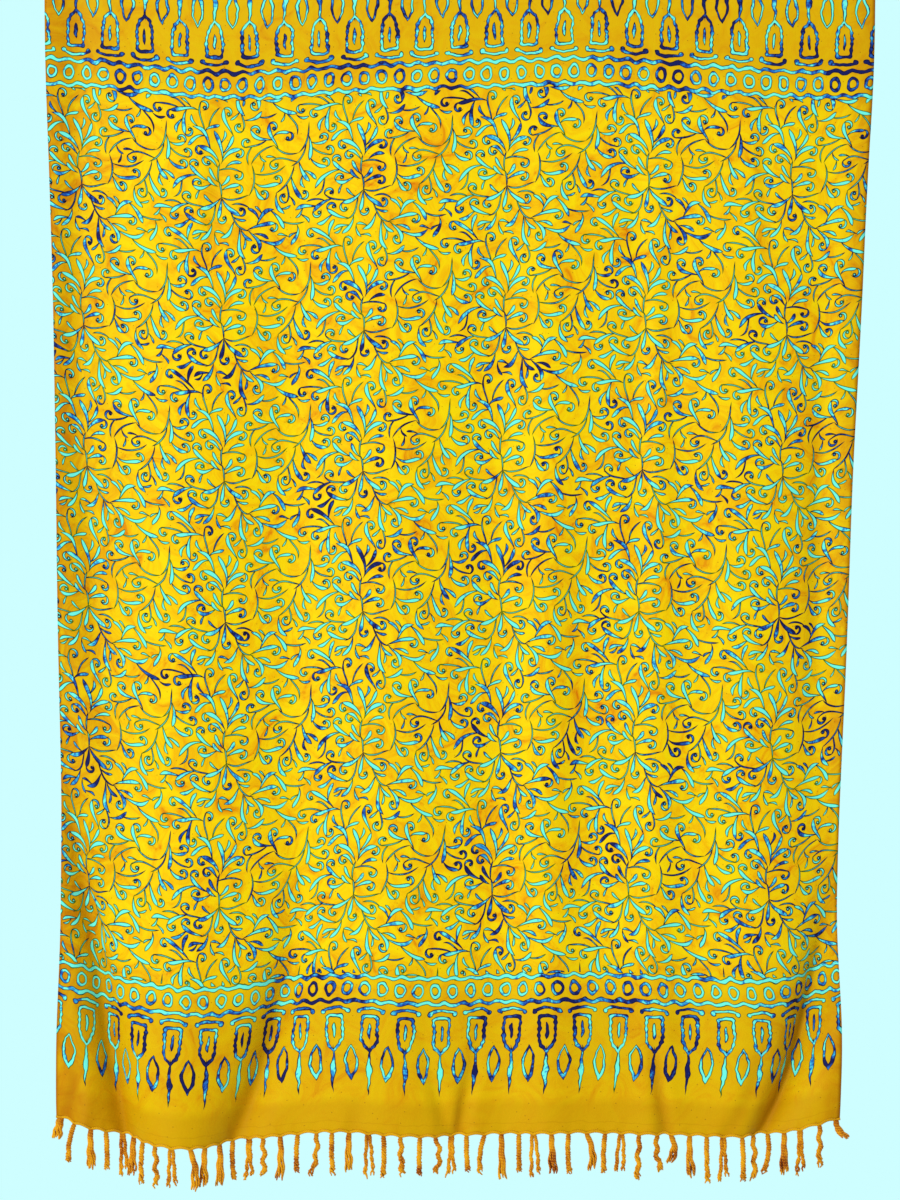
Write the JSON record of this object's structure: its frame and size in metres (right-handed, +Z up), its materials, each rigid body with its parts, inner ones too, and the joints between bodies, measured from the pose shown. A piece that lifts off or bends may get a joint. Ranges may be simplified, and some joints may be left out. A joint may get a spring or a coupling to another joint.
{
  "type": "sarong",
  "caption": "Oblong of thin printed cloth with tasselled ends, hanging flat by its top edge with soft folds at the lower corners.",
  "frame": {"origin": "middle of the cloth's top edge, where it is held", "axes": "+Z up along the hanging cloth, -Y out of the printed front, +X to the viewer's right"},
  "size_m": [1.1479, 0.063, 1.7455],
  "materials": {
    "printed_cloth": "soft low sheen, stamped and dyed vine pattern",
    "twisted_cord": "matt twisted yarn"
  },
  "bodies": {
    "root": {"cloth_panel": "printed_cloth", "fringe_bottom": "twisted_cord", "fringe_top": "twisted_cord"}
  },
  "joints": []
}
